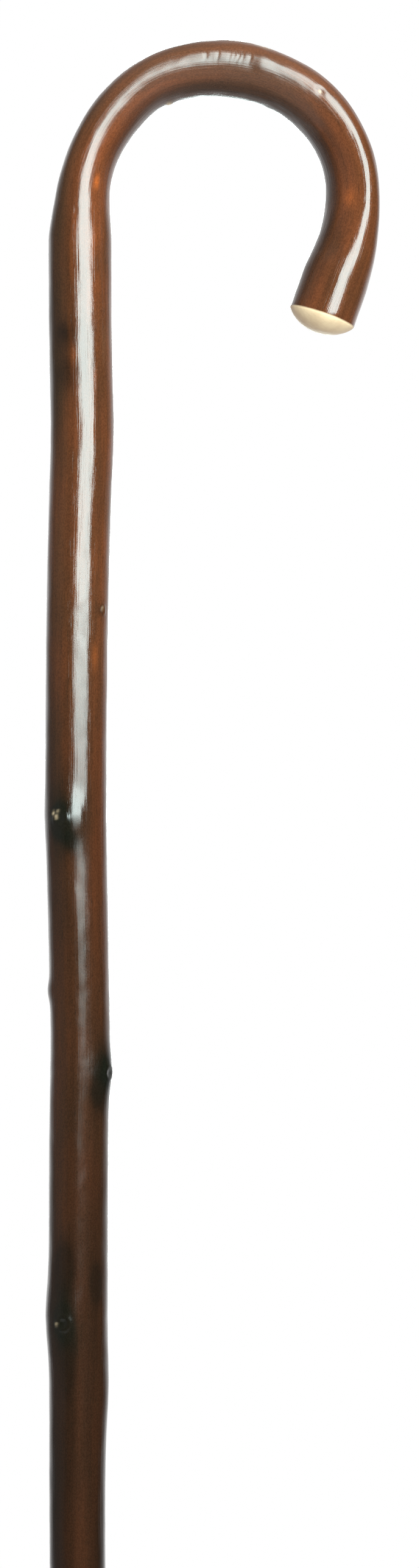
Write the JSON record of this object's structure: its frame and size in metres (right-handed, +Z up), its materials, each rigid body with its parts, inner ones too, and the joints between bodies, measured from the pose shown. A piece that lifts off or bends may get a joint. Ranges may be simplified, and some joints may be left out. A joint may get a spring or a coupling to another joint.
{
  "type": "walking stick",
  "caption": "Crook-handled wooden walking stick: one bent and varnished length of wood with a domed nose, standing on a push-on rubber ferrule.",
  "frame": {"origin": "centre of the ferrule's tread, on the ground", "axes": "+Z up the shaft, +X from the shaft to the nose of the crook, Y from front to back, across the flat of the crook"},
  "size_m": [0.1265, 0.036, 0.9152],
  "materials": {
    "varnished_wood": "high-gloss varnish over scorched and stained chestnut, pale bare end grain on the nose",
    "moulded_rubber": "matt moulded black rubber",
    "plated_steel": "dull zinc plating"
  },
  "bodies": {
    "stick": {"stick": "varnished_wood"},
    "ferrule": {"ferrule_rubber": "moulded_rubber", "ferrule_washer": "plated_steel"}
  },
  "joints": [
    {"name": "ferrule_pull_off", "type": "slide", "parent": "stick", "child": "ferrule", "axis": [0, 0, -1], "range_m": [0, 0.04]}
  ]
}
